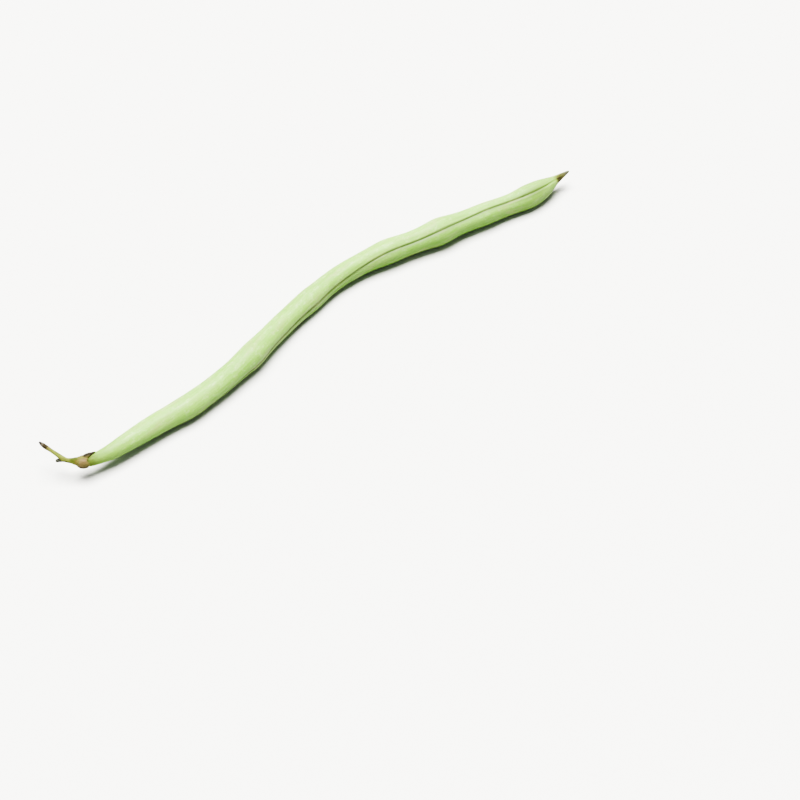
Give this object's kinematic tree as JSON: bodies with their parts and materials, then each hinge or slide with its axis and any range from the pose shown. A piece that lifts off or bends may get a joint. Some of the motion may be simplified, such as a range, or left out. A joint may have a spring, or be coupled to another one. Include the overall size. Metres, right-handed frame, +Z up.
{
  "type": "green bean",
  "caption": "Long, slim, gently curved green bean pod with a twisting seam, seed bulges, a pointed beak, a dried calyx and a thin stalk, lying on its side.",
  "frame": {"origin": "on the surface the bean lies on, under the middle of its length and width", "axes": "+X from the stalk end towards the beak, +Z up from the surface, +Y towards the outside of the bean's main curve"},
  "size_m": [0.1776, 0.0182, 0.0097],
  "materials": {
    "pod_skin": "satin, waxy",
    "dry_calyx": "matte, dried",
    "stalk_bark": "matte, faintly ribbed"
  },
  "bodies": {
    "root": {"pod": "pod_skin", "calyx": "dry_calyx", "stalk": "stalk_bark"}
  },
  "joints": []
}
